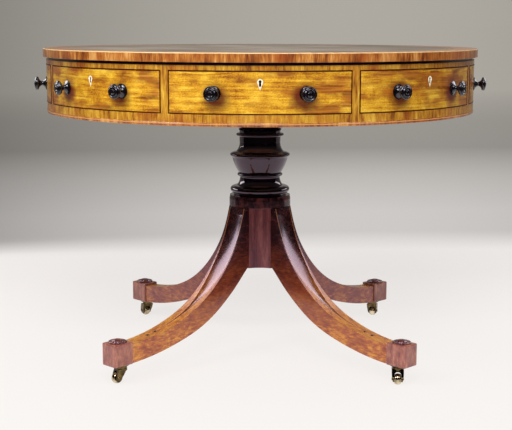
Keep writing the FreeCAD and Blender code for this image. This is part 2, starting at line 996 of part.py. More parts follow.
def fork_front():
    """The fork as seen from the front: a horseshoe that narrows to its toes."""
    bridge_top = hub_bottom + bridge_height
    toe = wheel_radius - cheek_end_radius
    near = -(caster_trail + cheek_end_radius)

    def place(across, height):
        return Vector(across, near, height)

    edges = trail(place(-toe_far, toe), (
        (place(-cheek_far, wheel_radius), place(-shoulder, bridge_top)),
        (place(shoulder, bridge_top),),
        (place(cheek_far, wheel_radius), place(toe_far, toe)),
        (place(cheek_near, toe),),
        (place(cheek_near, hub_bottom - cheek_near),),
        (place(0, hub_bottom), place(-cheek_near, hub_bottom - cheek_near)),
        (place(-cheek_near, toe),),
        (place(-toe_far, toe),),
    ))
    depth = caster_trail + 2 * cheek_end_radius
    return Part.Face(Part.Wire(edges)).extrude(Vector(0, depth, 0))


def caster_fork():
    """The fork and the axle riveted through its cheeks."""
    fork = fork_side().common(fork_front())
    fork = fork.fuse(post(hub_radius, hub_bottom, plate_bottom - caster_gap)).removeSplitter()
    fork = fork.cut(post(pintle_radius + pintle_fit, 0, plate_bottom))
    fork = fork.cut(post(pintle_head_radius + caster_gap, 0, hub_bottom))
    hole_reach = shoulder + overrun
    fork = fork.cut(cross_bar(axle_radius + axle_seat_gap, -hole_reach, hole_reach))
    seat_radius = axle_head_radius + axle_seat_gap
    for near, far in ((-hole_reach, -cheek_far), (cheek_far, hole_reach)):
        fork = fork.cut(cross_bar(seat_radius, near, far))
    axle = cross_bar(axle_radius, -cheek_far, cheek_far)
    for side in (-1, 1):
        head_start = Vector(side * cheek_far, -caster_trail, wheel_radius)
        head = Part.makeCone(
            axle_head_radius, axle_radius, axle_head_height, head_start, ACROSS * side
        )
        axle = axle.fuse(head)
    return group([fork, axle.removeSplitter()])


def caster_wheel():
    """A brass roller with a crowned tread and a sunk web."""
    half = wheel_width / 2
    edge = wheel_radius - wheel_crown
    web = half - wheel_recess_depth

    def place(across, radius):
        return Vector(across, -caster_trail, wheel_radius + radius)

    edges = trail(place(-half, edge), (
        (place(0, wheel_radius), place(half, edge)),
        (place(half, wheel_recess_radius),),
        (place(web, wheel_recess_radius),),
        (place(web, wheel_hub_radius),),
        (place(half, wheel_hub_radius),),
        (place(half, axle_radius + axle_fit),),
        (place(-half, axle_radius + axle_fit),),
        (place(-half, wheel_hub_radius),),
        (place(-web, wheel_hub_radius),),
        (place(-web, wheel_recess_radius),),
        (place(-half, wheel_recess_radius),),
        (place(-half, edge),),
    ))
    centre = Vector(0, -caster_trail, wheel_radius)
    return Part.Face(Part.Wire(edges)).revolve(centre, ACROSS, FULL_TURN)


def at_corner(shape, name):
    """A caster piece turned to its heading and put under its foot."""
    return moved(turned(shape, caster_headings[name]), polar(caster_radius, corner_azimuths[name], 0))


# Every piece, written one file each

def all_pieces():
    one_leg = leg()
    solid_block = pedestal_block()
    block = solid_block
    for shape in strap_screws():
        block = block.cut(shape)
    pieces = {
        "top_board": top_board(),
        "top_banding": top_banding(),
        "leather_top": leather_top(),
        "top_rail": top_rail(),
        "bottom_rail": bottom_rail(),
        "base_board": base_board(),
        "stiles": stiles(),
        "partitions": partitions(),
        "drawer_runners": drawer_runners(),
        "bearing_block": bearing_block(),
        "sham_fronts": group([turned(sham_front(), azimuth) for azimuth in sham_azimuths]),
        "sham_beads": group([turned(front_bead(), azimuth) for azimuth in sham_azimuths]),
        "sham_knobs": group([turned(one, azimuth) for azimuth in sham_azimuths for one in knob_pair()]),
        "sham_escutcheons": group([turned(escutcheon(), azimuth) for azimuth in sham_azimuths]),
        "column": column(),
        "bearer_plate": bearer_plate(),
        "turning_pin": turning_pin(),
        "leg_pegs": leg_pegs(),
        "foot_blocks": foot_blocks(),
        "foot_roundels": foot_roundels(),
        "wood_screws": wood_screws(),
        "caster_plates": caster_plates(),
        "leg_strap": leg_strap(solid_block, one_leg),
        "pedestal_block": block,
    }
    for name, azimuth in corner_azimuths.items():
        pieces["leg_" + name] = turned(one_leg, azimuth)
    fork = caster_fork()
    wheel = caster_wheel()
    for name in corner_azimuths:
        pieces["caster_fork_" + name] = at_corner(fork, name)
        pieces["caster_wheel_" + name] = at_corner(wheel, name)
    drawer_pieces = {
        "drawer_front": drawer_front(),
        "drawer_bead": front_bead(),
        "drawer_box": drawer_box(),
        "drawer_knobs": group(knob_pair()),
        "drawer_escutcheon": escutcheon(),
        "drawer_lock": lock(),
    }
    for side, azimuth in drawer_azimuths.items():
        for name, shape in drawer_pieces.items():
            pieces[side + "_" + name] = turned(shape, azimuth)
    return pieces


os.makedirs("parts", exist_ok=True)
for node, shape in all_pieces().items():
    shape.exportStep("parts/" + node + ".step")
    solids = shape.Solids
    volume = sum(solid.Volume for solid in solids)
    print(node, len(solids), round(volume), shape.isValid())
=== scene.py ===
import bpy
import math
from mathutils import Matrix, Vector


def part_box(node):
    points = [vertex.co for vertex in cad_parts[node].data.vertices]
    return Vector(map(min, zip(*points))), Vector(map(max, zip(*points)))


# The looks of the drum table: wood, leather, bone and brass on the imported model, in metres.
# Azimuths are in degrees, counted from -Y towards +X, as in the model.
# Colours are screen values from 0 to 255. A stretch says how often a pattern changes per metre.

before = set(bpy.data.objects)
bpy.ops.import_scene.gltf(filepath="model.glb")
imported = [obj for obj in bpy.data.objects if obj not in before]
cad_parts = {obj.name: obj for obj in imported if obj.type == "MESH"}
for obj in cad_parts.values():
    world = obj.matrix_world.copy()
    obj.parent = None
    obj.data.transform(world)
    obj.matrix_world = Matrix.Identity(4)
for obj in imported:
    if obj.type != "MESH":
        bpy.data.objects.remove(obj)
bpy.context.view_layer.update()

scene = bpy.context.scene
scene.view_settings.view_transform = "Standard"

millimetre = 0.001
right_angle = 90.0
# The whole of a share, and an unchanged scale
full = 1.0

# Places read from the frame, and the small steps that they are taken from

collar_height = 27.0 * millimetre
gap_height = 5.2 * millimetre
keyhole_rise = 2.8 * millimetre
knob_aside = 97.2 * millimetre
bays = 8

top_low, top_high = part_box("top_banding")
leather_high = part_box("leather_top")[1]
rail_low, rail_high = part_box("bottom_rail")
block_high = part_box("pedestal_block")[1]
knobs_low, knobs_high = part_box("front_drawer_knobs")
escutcheon_low, escutcheon_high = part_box("front_drawer_escutcheon")
table_height = top_high.z
top_radius = top_high.x
leather_radius = leather_high.x
frieze_radius = rail_high.x
rail_bottom = rail_low.z
collar_bottom = block_high.z - collar_height
gap_bottom = top_low.z - gap_height
knob_height = (knobs_low.z + knobs_high.z) / 2
keyhole_height = (escutcheon_low.z + escutcheon_high.z) / 2 + keyhole_rise
knob_azimuth = math.asin(knob_aside / frieze_radius)
half_bay = math.pi / bays

corner_azimuths = {"front_left": -45.0, "front_right": 45.0, "rear_right": 135.0, "rear_left": -135.0}
drawer_sides = ("front", "right", "back", "left")

# The camera of the photograph, found from the table's rims, bays and feet

camera_distance = 2.982
camera_height = 0.8254
camera_tilt = 9.193
camera_turn = 0.189
camera_roll = 0.076
camera_lens = 83.43
sensor_width = 36.0
matrix_size = 4


def turn_about(axis, degrees):
    return Matrix.Rotation(math.radians(degrees), matrix_size, axis)


def add_camera():
    data = bpy.data.cameras.new("camera")
    data.lens = camera_lens
    data.sensor_width = sensor_width
    camera = bpy.data.objects.new("camera", data)
    scene.collection.objects.link(camera)
    place = Matrix.Translation((0, -camera_distance, camera_height))
    tilt = turn_about("X", right_angle - camera_tilt)
    camera.matrix_world = place @ turn_about("Z", camera_turn) @ tilt @ turn_about("Z", camera_roll)
    scene.camera = camera


add_camera()

# A short way to write node trees

screen_white = 255.0
dark_limit = 0.04045
dark_slope = 12.92
curve_offset = 0.055
curve_power = 2.4
noise_roughness = 0.55
no_offset = (0, 0, 0)


def linear(colour):
    """A colour in screen values, as the nodes want it."""
    values = []
    for level in colour:
        share = level / screen_white
        if share <= dark_limit:
            values.append(share / dark_slope)
        else:
            values.append(((share + curve_offset) / (full + curve_offset)) ** curve_power)
    return (*values, full)


class Graph:
    """A node tree: every method returns the socket of its result."""

    def __init__(self, tree):
        self.tree = tree

    def feed(self, socket, value):
        """Links a socket to another one, or sets it to a value."""
        if isinstance(value, bpy.types.NodeSocket):
            self.tree.links.new(value, socket)
        else:
            socket.default_value = value

    def node(self, kind, **settings):
        made = self.tree.nodes.new(kind)
        for name, value in settings.items():
            setattr(made, name, value)
        return made

    def place(self):
        return self.node("ShaderNodeTexCoord").outputs["Object"]

    def facing(self):
        return self.node("ShaderNodeTexCoord").outputs["Normal"]

    def math(self, operation, *values):
        made = self.node("ShaderNodeMath", operation=operation)
        for socket, value in zip(made.inputs, values):
            self.feed(socket, value)
        return made.outputs[0]

    def plus(self, *values):
        total = values[0]
        for value in values[1:]:
            total = self.math("ADD", total, value)
        return total

    def minus(self, first, second):
        return self.math("SUBTRACT", first, second)

    def times(self, first, second):
        return self.math("MULTIPLY", first, second)

    def share_of(self, part, whole):
        return self.math("DIVIDE", part, whole)

    def size(self, value):
        return self.math("ABSOLUTE", value)

    def length(self, x, y):
        return self.math("SQRT", self.plus(self.times(x, x), self.times(y, y)))

    def opposite(self, share):
        return self.minus(full, share)

    def split(self, vector):
        made = self.node("ShaderNodeSeparateXYZ")
        self.feed(made.inputs[0], vector)
        return tuple(made.outputs)

    def join(self, *values):
        made = self.node("ShaderNodeCombineXYZ")
        for socket, value in zip(made.inputs, values):
            self.feed(socket, value)
        return made.outputs[0]

    def scaled(self, vector, scale):
        made = self.node("ShaderNodeVectorMath", operation="SCALE")
        self.feed(made.inputs[0], vector)
        self.feed(made.inputs["Scale"], scale)
        return made.outputs[0]

    def stretched(self, vector, stretch, offset=no_offset):
        made = self.node("ShaderNodeMapping")
        self.feed(made.inputs["Vector"], vector)
        self.feed(made.inputs["Scale"], stretch)
        self.feed(made.inputs["Location"], offset)
        return made.outputs[0]

    def turned(self, vector, degrees):
        made = self.node("ShaderNodeVectorRotate", rotation_type="Z_AXIS")
        self.feed(made.inputs["Vector"], vector)
        self.feed(made.inputs["Angle"], math.radians(degrees))
        return made.outputs[0]

    def noise(self, vector, stretch, detail, offset=no_offset):
        made = self.node("ShaderNodeTexNoise")
        self.feed(made.inputs["Vector"], self.stretched(vector, stretch, offset))
        self.feed(made.inputs["Scale"], full)
        self.feed(made.inputs["Detail"], detail)
        self.feed(made.inputs["Roughness"], noise_roughness)
        return made.outputs["Fac"]

    def cells(self, vector, stretch):
        made = self.node("ShaderNodeTexVoronoi")
        self.feed(made.inputs["Vector"], self.stretched(vector, stretch))
        self.feed(made.inputs["Scale"], full)
        return made.outputs["Distance"]

    def layers(self, vector, table, offset=no_offset):
        """Noises added up: each row has a stretch, a detail and a share of the whole."""
        parts = []
        for stretch, detail, share in table:
            parts.append(self.times(self.noise(vector, stretch, detail, offset), share))
        return self.plus(*parts)

    def ramp(self, share, tones):
        """A colour, or a grey level, that follows a share through its tones."""
        made = self.node("ShaderNodeValToRGB")
        self.feed(made.inputs["Fac"], share)
        elements = made.color_ramp.elements
        while len(elements) < len(tones):
            elements.new(full)
        for element, (position, tone) in zip(elements, tones):
            element.position = position
            grey = isinstance(tone, float)
            element.color = (tone, tone, tone, full) if grey else linear(tone)
        return made.outputs["Color"]

    def mix(self, share, first, second):
        made = self.node("ShaderNodeMix", data_type="RGBA")
        sockets = [socket for socket in made.inputs if socket.type == "RGBA"]
        self.feed(made.inputs["Factor"], share)
        for socket, value in zip(sockets, (first, second)):
            self.feed(socket, value)
        return [socket for socket in made.outputs if socket.type == "RGBA"][0]

    def between(self, value, low, high):
        """0 below low, 1 above high and a straight line between them."""
        made = self.node("ShaderNodeMapRange")
        self.feed(made.inputs["Value"], value)
        self.feed(made.inputs["From Min"], low)
        self.feed(made.inputs["From Max"], high)
        return made.outputs[0]

    def spread(self, share, low, high):
        """A share from 0 to 1 spread from low to high."""
        return self.plus(low, self.times(share, high - low))

    def stripe(self, value, centre, half_width, softness):
        """1 within a half width of a centre, falling to 0 over a softness."""
        off = self.size(self.minus(value, centre))
        return self.opposite(self.between(self.minus(off, half_width), 0, softness))

    def bump(self, height, depth):
        made = self.node("ShaderNodeBump")
        self.feed(made.inputs["Distance"], depth)
        self.feed(made.inputs["Height"], height)
        return made.outputs[0]

    def seen(self):
        """1 for what the camera sees, also in a reflection or through glass."""
        path = self.node("ShaderNodeLightPath")
        kinds = ("Is Camera Ray", "Is Glossy Ray", "Is Transmission Ray")
        return self.math("MINIMUM", self.plus(*(path.outputs[kind] for kind in kinds)), full)


def new_material(name):
    """A material, its graph and its main shader."""
    material = bpy.data.materials.new(name)
    material.use_nodes = True
    shader = material.node_tree.nodes["Principled BSDF"]
    return material, Graph(material.node_tree), shader


def finish(graph, shader, colour, roughness, relief=None, depth=0.0, coat=0.0, coat_roughness=0.1):
    """Joins a colour, a roughness, a fine relief and a polish to a shader."""
    graph.feed(shader.inputs["Base Color"], colour)
    graph.feed(shader.inputs["Roughness"], roughness)
    graph.feed(shader.inputs["Coat Weight"], coat)
    graph.feed(shader.inputs["Coat Roughness"], coat_roughness)
    if relief is not None:
        graph.feed(shader.inputs["Normal"], graph.bump(relief, depth))


def dress(material, *nodes):
    """Gives CAD nodes one material all over."""
    for name in nodes:
        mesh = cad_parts[name].data
        mesh.materials.clear()
        mesh.materials.append(material)


def on_every_side(piece):
    return [side + "_" + piece for side in drawer_sides]


def at_every_corner(piece):
    return [piece + "_" + corner for corner in corner_azimuths]


# Veneer on the top's edge and the frieze, with its grain up the rail or in from the rim

banding_layers = (
    ((150.0, 150.0, 16.0), 3.0, 0.32),
    ((34.0, 34.0, 12.0), 3.0, 0.42),
    ((600.0, 600.0, 60.0), 2.0, 0.26),
)
fine_layers = (((900.0, 900.0, 30.0), 2.0, 1.0),)
patch_layers = (((18.0, 18.0, 9.0), 4.0, 1.0),)
patch_from, patch_to = 0.50, 0.62
patch_share = 0.5
patch_tone = (160, 70, 14)
rail_tones = (
    (0.40, (128, 70, 16)),
    (0.47, (180, 120, 28)),
    (0.54, (206, 152, 40)),
    (0.61, (226, 180, 68)),
)
edge_tones = (
    (0.40, (112, 50, 14)),
    (0.48, (164, 94, 32)),
    (0.55, (196, 128, 54)),
    (0.62, (222, 166, 96)),
)
# Painted highlight along the top's arris
arris_highlight_tone = (240, 204, 148)
# Painted highlight along the base's edge
base_highlight_tone = (214, 156, 104)
# Painted shade below the top's overhang
overhang_shade_tone = (84, 30, 12)
# Painted shade in the groove under the top
gap_shade_tone = (34, 12, 7)
# Plain dark wood with painted shade, where the boards face down
underside_wood_and_shade_tone = (44, 30, 22)
# Painted shade, red-brown, towards both sides of the drum
side_shade_tone = (90, 20, 8)
side_shade_right_share, side_shade_right_from, side_shade_right_to = 0.34, 0.18, 0.50
side_shade_left_share, side_shade_left_from, side_shade_left_to = 0.36, 0.32, 0.51


def side_shade(graph, x):
    """The share of painted shade, a red-brown that grows towards both sides of the drum."""
    right = graph.times(side_shade_right_share, graph.between(x, side_shade_right_from, side_shade_right_to))
    left = graph.times(side_shade_left_share, graph.between(graph.minus(0, x), side_shade_left_from, side_shade_left_to))
    return graph.plus(left, right)


def round_the_drum(graph, place):
    """Coordinates for cross-grained veneer, round the drum and in from the rim; radius and height."""
    x, y, z = graph.split(place)
    radius = graph.length(x, y)
    around = graph.share_of(frieze_radius, radius)
    depth = graph.plus(z, radius)
    return graph.join(graph.times(x, around), graph.times(y, around), depth), radius, z


def cross_banded(name, tones, offset, side_shade_weight, *marks):
    """Cross-grained veneer with painted shade towards the drum's sides; a mark gives a share and its
    tone for a radius and a height.
    """
    shiny, dull = 0.22, 0.48
    relief = 0.05 * millimetre
    coat = 0.36
    coat_roughness = 0.12
    material, graph, shader = new_material(name)
    place, radius, height = round_the_drum(graph, graph.place())
    colour = graph.ramp(graph.layers(place, banding_layers, offset), tones)
    patches = graph.between(graph.layers(place, patch_layers, offset), patch_from, patch_to)
    colour = graph.mix(graph.times(patches, patch_share), colour, linear(patch_tone))
    x = graph.split(graph.place())[0]
    colour = graph.mix(graph.times(side_shade_weight, side_shade(graph, x)), colour, linear(side_shade_tone))
    for mark in marks:
        share, tone = mark(graph, radius, height)
        colour = graph.mix(share, colour, linear(tone))
    fine = graph.layers(place, fine_layers, offset)
    roughness = graph.spread(fine, shiny, dull)
    finish(graph, shader, colour, roughness, fine, relief, coat, coat_roughness)
    return material


def arris_highlight(graph, radius, height):
    """A painted highlight along the rubbed arris round the top."""
    rubbed, untouched = 1.2 * millimetre, 2.6 * millimetre
    from_edge = graph.plus(graph.minus(top_radius, radius), graph.minus(table_height, height))
    return graph.opposite(graph.between(from_edge, rubbed, untouched)), arris_highlight_tone


def base_highlight(graph, radius, height):
    """A painted highlight along the base's rounded edge."""
    drop = 2.6 * millimetre
    half_width = 0.4 * millimetre
    softness = 0.8 * millimetre
    return graph.stripe(height, rail_bottom - drop, half_width, softness), base_highlight_tone


def overhang_shade(graph, radius, height):
    """Painted shade below the top's overhang, darker towards the groove."""
    strongest = 0.4
    reach = 5.0 * millimetre
    return graph.times(strongest, graph.between(height, gap_bottom - reach, gap_bottom)), overhang_shade_tone


def gap_shade(graph, radius, height):
    """Painted shade in the groove under the top and along the rail's upper edge."""
    lit_below, dark_above = 1.5 * millimetre, 0.7 * millimetre
    return graph.between(height, gap_bottom - lit_below, gap_bottom - dark_above), gap_shade_tone


def underside(graph, radius, height):
    """Darker where the board faces down and can't be seen from above: plain dark wood, and painted
    shade.
    """
    down_from, down_to = 0.8, 0.95
    down = graph.minus(0, graph.split(graph.facing())[-1])
    return graph.between(down, down_from, down_to), underside_wood_and_shade_tone


# Golden fronts with their grain along the front, a mottled figure and darker flames

front_layers = (
    ((7.0, 7.0, 210.0), 4.0, 0.30),
    ((24.0, 24.0, 900.0), 3.0, 0.20),
    ((26.0, 26.0, 34.0), 3.0, 0.28),
    ((320.0, 320.0, 520.0), 2.0, 0.22),
)
front_tones = (
    (0.41, (142, 78, 8)),
    (0.47, (200, 136, 16)),
    (0.53, (226, 170, 28)),
    (0.59, (244, 202, 66)),
)
flame_layers = (((12.0, 12.0, 30.0), 4.0, 1.0),)
flame_grain = (((8.0, 8.0, 220.0), 4.0, 1.0),)
flame_tones = (
    (0.38, (104, 36, 6)),
    (0.50, (150, 72, 12)),
    (0.62, (186, 106, 24)),
)
grain_relief = 0.1 * millimetre
# Painted shade inside the keyhole
keyhole_shade_tone = (10, 6, 5)
keyhole_half_width = 3.3 * millimetre
keyhole_half_height = 7.4 * millimetre
keyhole_edge_share = 0.9

# A painted shadow of each knob lies a little inwards of its stem, and below it
knob_shadow_tone = (98, 16, 0)
knob_shadow_shift = 6.0 * millimetre
knob_shadow_drop = 9.0 * millimetre
knob_shadow_inner = 13.0 * millimetre
knob_shadow_outer = 36.0 * millimetre
knob_shadow_azimuth = knob_azimuth - knob_shadow_shift / frieze_radius
knob_shadow_height = knob_height - knob_shadow_drop


def in_bay(graph, x, y):
    """The angle from the middle of the nearest bay, the same on both of its halves."""
    return graph.math("PINGPONG", graph.math("ARCTAN2", x, graph.minus(0, y)), half_bay)


def in_knob_shadow(graph, x, y, z):
    """1 at a knob's stem, falling to 0 at the edge of its painted shadow."""
    aside = graph.times(graph.minus(in_bay(graph, x, y), knob_shadow_azimuth), frieze_radius)
    reach = graph.length(aside, graph.minus(z, knob_shadow_height))
    return graph.opposite(graph.between(reach, knob_shadow_inner, knob_shadow_outer))


def in_keyhole(graph, x, y, z):
    """1 inside the keyhole, which the escutcheon frames; there the wood, and the lock behind it, get
    painted shade.
    """
    aside = graph.share_of(graph.times(in_bay(graph, x, y), frieze_radius), keyhole_half_width)
    away = graph.share_of(graph.minus(z, keyhole_height), keyhole_half_height)
    return graph.opposite(graph.between(graph.length(aside, away), keyhole_edge_share, full))


def figured_front(name):
    """Bowed fronts: waved grain, flames, a painted shadow by each knob and painted shade towards the
    drum's sides.
    """
    wave_stretch, wave_detail = (5.0, 5.0, 9.0), 2.0
    wave_size = 9.0 * millimetre
    flame_offset = (0.3, 1.7, 0.0)
    flame_low, flame_high = 0.49, 0.62
    flame_share = 0.8
    right_shade_share, right_shade_from, right_shade_to = 0.06, 0.16, 0.42
    knob_shadow_least, knob_shadow_most = 0.5, 1.5
    knob_shadow_share = 0.9
    shiny, dull = 0.2, 0.6
    coat = 0.35
    material, graph, shader = new_material(name)
    place = graph.place()
    x, y, z = graph.split(place)
    wave = graph.noise(place, wave_stretch, wave_detail)
    waved = graph.join(x, y, graph.plus(z, graph.times(wave, wave_size)))
    share = graph.layers(waved, front_layers)
    # More flames towards the right: painted shade
    right_shade = graph.times(right_shade_share, graph.between(x, right_shade_from, right_shade_to))
    flames = graph.plus(graph.layers(waved, flame_layers, flame_offset), right_shade)
    flame = graph.between(flames, flame_low, flame_high)
    dark = graph.ramp(graph.layers(waved, flame_grain), flame_tones)
    colour = graph.mix(graph.times(flame, flame_share), graph.ramp(share, front_tones), dark)
    # Painted shadow below each knob
    ragged = graph.spread(wave, knob_shadow_least, knob_shadow_most)
    knob_shadow = graph.math("MINIMUM", graph.times(in_knob_shadow(graph, x, y, z), ragged), knob_shadow_share)
    colour = graph.mix(knob_shadow, colour, linear(knob_shadow_tone))
    # Painted shade towards the drum's sides
    colour = graph.mix(side_shade(graph, x), colour, linear(side_shade_tone))
    hole = in_keyhole(graph, x, y, z)
    colour = graph.mix(hole, colour, linear(keyhole_shade_tone))
    roughness = graph.math("MAXIMUM", graph.spread(share, shiny, dull), hole)
    finish(graph, shader, colour, roughness, share, grain_relief, coat)
    return material


# Solid wood with its grain in one direction

polish_tone = (252, 218, 244)
ebony_polish_tone = (236, 236, 250)
column_layers = (((150.0, 150.0, 12.0), 4.0, 0.6), ((30.0, 30.0, 6.0), 2.0, 0.4))
column_tones = (
    (0.40, (4, 2, 2)),
    (0.52, (9, 4, 5)),
    (0.64, (24, 10, 9)),
)
block_layers = (
    ((90.0, 90.0, 9.0), 4.0, 0.5),
    ((30.0, 30.0, 6.0), 2.0, 0.3),
    ((400.0, 400.0, 60.0), 2.0, 0.2),
)
block_tones = (
    (0.38, (82, 34, 38)),
    (0.50, (118, 59, 58)),
    (0.62, (148, 86, 78)),
)
collar_layers = (((60.0, 60.0, 60.0), 4.0, 1.0),)
collar_tones = (
    (0.38, (30, 12, 16)),
    (0.50, (52, 24, 26)),
    (0.62, (84, 40, 38)),
)
foot_layers = (
    ((110.0, 110.0, 24.0), 4.0, 0.30),
    ((50.0, 50.0, 40.0), 3.0, 0.42),
    ((500.0, 500.0, 90.0), 2.0, 0.28),
)
foot_tones = (
    (0.38, (122, 62, 56)),
    (0.50, (160, 94, 82)),
    (0.62, (192, 128, 104)),
)
roundel_tones = (
    (0.38, (62, 28, 26)),
    (0.50, (98, 50, 44)),
    (0.62, (136, 78, 64)),
)
oak_layers = (((14.0, 200.0, 200.0), 4.0, 0.6), ((60.0, 900.0, 900.0), 2.0, 0.4))
oak_tones = (
    (0.38, (140, 98, 56)),
    (0.50, (180, 138, 90)),
    (0.62, (206, 170, 122)),
)
pine_layers = (((14.0, 160.0, 160.0), 4.0, 0.7), ((50.0, 700.0, 700.0), 2.0, 0.3))
pine_tones = (
    (0.38, (146, 100, 56)),
    (0.50, (188, 144, 92)),
    (0.62, (214, 178, 128)),
)


def polish(shader, gloss, tone=polish_tone):
    """Old polish, whose gloss is faintly lilac on the lighter woods."""
    shader.inputs["Specular IOR Level"].default_value = gloss
    shader.inputs["Specular Tint"].default_value = linear(tone)


def plain_wood(name, layers, tones, roughness, coat=0.0, gloss=0.0):
    material, graph, shader = new_material(name)
    share = graph.layers(graph.place(), layers)
    colour = graph.ramp(share, tones)
    finish(graph, shader, colour, graph.spread(share, *roughness), share, grain_relief, coat)
    if gloss:
        polish(shader, gloss)
    return material


def block_wood(name):
    """The block's facets, and its darker collar above them."""
    step = 1.0 * millimetre
    shiny, dull = 0.12, 0.3
    relief = 0.08 * millimetre
    gloss = 0.6
    material, graph, shader = new_material(name)
    place = graph.place()
    height = graph.split(place)[-1]
    share = graph.layers(place, block_layers)
    facets = graph.ramp(share, block_tones)
    collar = graph.ramp(graph.layers(place, collar_layers), collar_tones)
    above = graph.between(height, collar_bottom - step, collar_bottom + step)
    colour = graph.mix(above, facets, collar)
    finish(graph, shader, colour, graph.spread(share, shiny, dull), share, relief)
    polish(shader, gloss)
    return material


# The sabre legs: painted shade towards the block, golden along the top near the foot, with a dark
# hollow

leg_layers = (
    ((130.0, 60.0, 130.0), 4.0, 0.40),
    ((40.0, 22.0, 40.0), 3.0, 0.30),
    ((520.0, 60.0, 320.0), 2.0, 0.30),
)
leg_side_tones = (
    (0.40, (146, 70, 14)),
    (0.48, (182, 100, 16)),
    (0.54, (206, 128, 20)),
    (0.60, (228, 158, 36)),
)
leg_pink_tones = (
    (0.40, (106, 40, 26)),
    (0.48, (134, 62, 38)),
    (0.54, (156, 82, 42)),
    (0.60, (182, 112, 46)),
)
leg_red_tones = (
    (0.40, (90, 34, 12)),
    (0.50, (120, 50, 14)),
    (0.60, (150, 74, 22)),
)
leg_flank_tones = (
    (0.40, (152, 74, 4)),
    (0.50, (200, 118, 8)),
    (0.60, (226, 156, 34)),
)
hollow_tones = (
    (0.40, (64, 20, 8)),
    (0.50, (96, 38, 12)),
    (0.60, (130, 60, 20)),
)
# Painted shade towards the block
leg_shade_tones = (
    (0.40, (22, 7, 8)),
    (0.50, (50, 18, 18)),
    (0.60, (84, 36, 30)),
)
# Painted highlight along the edges of the hollow
leg_arris_highlight_tone = (222, 142, 82)
pink_shares = {"front_left": 0.32, "front_right": 0.35, "rear_right": 0.9, "rear_left": 0.9}

# The heights over which a leg's sides redden, its top reddens and all of it darkens with painted shade
# from the drum above
red_zone = (0.10, 0.18)
flank_zone = (0.15, 0.24)
shade_zone = (0.18, 0.29)
zone_raggedness = 0.12
middle_share = 0.5

# The hollow narrows along the leg: a share of the way out, then a share of the leg's half width
leg_near = 79.0 * millimetre
leg_far = 436.0 * millimetre
leg_half_width = 29.0 * millimetre
hollow_shares = (
    (0.000, 0.86), (0.165, 0.80), (0.225, 0.69), (0.295, 0.58), (0.375, 0.37),
    (0.455, 0.20), (0.540, 0.12), (0.680, 0.07), (0.760, 0.00),
)
peg_reaches = (354.0 * millimetre, 376.0 * millimetre)
peg_ring_inner = 3.4 * millimetre
peg_ring_outer = 5.0 * millimetre
peg_ring_tone = (44, 14, 8)


def leg_hollow(graph, across, reach):
    """The share inside a leg's hollow, and the share on the painted highlight along its edge."""
    highlight_width = 0.8 * millimetre
    softness = 0.6 * millimetre
    half_width = graph.times(graph.ramp(reach, hollow_shares), leg_half_width)
    inside = graph.opposite(graph.between(graph.minus(across, half_width), 0, softness))
    return inside, graph.stripe(across, half_width, highlight_width, softness)


def leg_top(graph, share, inside, on_highlight, reach, reddened, shaded):
    """A leg's top: golden flanks, a hollow that is darker towards its point, and a painted highlight
    along the hollow's edges, fainter in the painted shade.
    """
    point_darkening_least, point_darkening_most = 0.35, 0.9
    point_from, point_to = 0.30, 0.46
    highlight_least, highlight_most = 0.55, 0.9
    red = graph.ramp(share, leg_red_tones)
    dark = graph.ramp(share, leg_shade_tones)
    flank = graph.mix(reddened, graph.ramp(share, leg_flank_tones), red)
    flank = graph.mix(shaded, flank, dark)
    hollow = graph.mix(shaded, graph.ramp(share, hollow_tones), dark)
    # The hollow darkens towards its point
    point_darkening = graph.spread(graph.between(reach, point_from, point_to), point_darkening_least, point_darkening_most)
    line = graph.times(on_highlight, graph.spread(graph.opposite(shaded), highlight_least, highlight_most))
    return graph.mix(graph.times(inside, point_darkening), flank, hollow), line


def leg_side(graph, share, pink, reddened, shaded):
    """A leg's sides: mottled gold and pink, red further up, and painted shade at the block."""
    gold = graph.mix(pink, graph.ramp(share, leg_side_tones), graph.ramp(share, leg_pink_tones))
    red = graph.mix(reddened, gold, graph.ramp(share, leg_red_tones))
    return graph.mix(shaded, red, graph.ramp(share, leg_shade_tones))


def leg_wood(name, azimuth, pink):
    """One leg's wood, in coordinates turned so that the leg points to the front."""
    upper_from, upper_to = 0.3, 0.6
    shiny, dull = 0.12, 0.24
    flank_dullness = 0.16
    material, graph, shader = new_material(name)
    place = graph.turned(graph.place(), -azimuth)
    x, y, z = graph.split(place)
    out_facing, up_facing = graph.split(graph.turned(graph.facing(), -azimuth))[1:]
    share = graph.layers(place, leg_layers)
    reach = graph.between(graph.minus(0, y), leg_near, leg_far)
    inside, on_highlight = leg_hollow(graph, graph.size(x), reach)
    height = graph.plus(z, graph.times(graph.minus(share, middle_share), zone_raggedness))
    zones = (red_zone, flank_zone, shade_zone)
    side_reddened, top_reddened, shaded = [graph.between(height, *zone) for zone in zones]
    top, line = leg_top(graph, share, inside, on_highlight, reach, top_reddened, shaded)
    for peg_reach in peg_reaches:
        away = graph.length(x, graph.plus(y, peg_reach))
        ring = graph.opposite(graph.between(away, peg_ring_inner, peg_ring_outer))
        top = graph.mix(ring, top, linear(peg_ring_tone))
    # Painted highlight along the edges of the hollow
    top = graph.mix(line, top, linear(leg_arris_highlight_tone))
    upper = graph.between(graph.minus(up_facing, out_facing), upper_from, upper_to)
    colour = graph.mix(upper, leg_side(graph, share, pink, side_reddened, shaded), top)
    flanks = graph.times(graph.times(upper, graph.opposite(inside)), graph.opposite(shaded))
    roughness = graph.plus(graph.spread(share, shiny, dull), graph.times(flanks, flank_dullness))
    finish(graph, shader, colour, roughness, share, grain_relief)
    polish(shader, full)
    return material


# Leather, ebonised wood, bone and metals

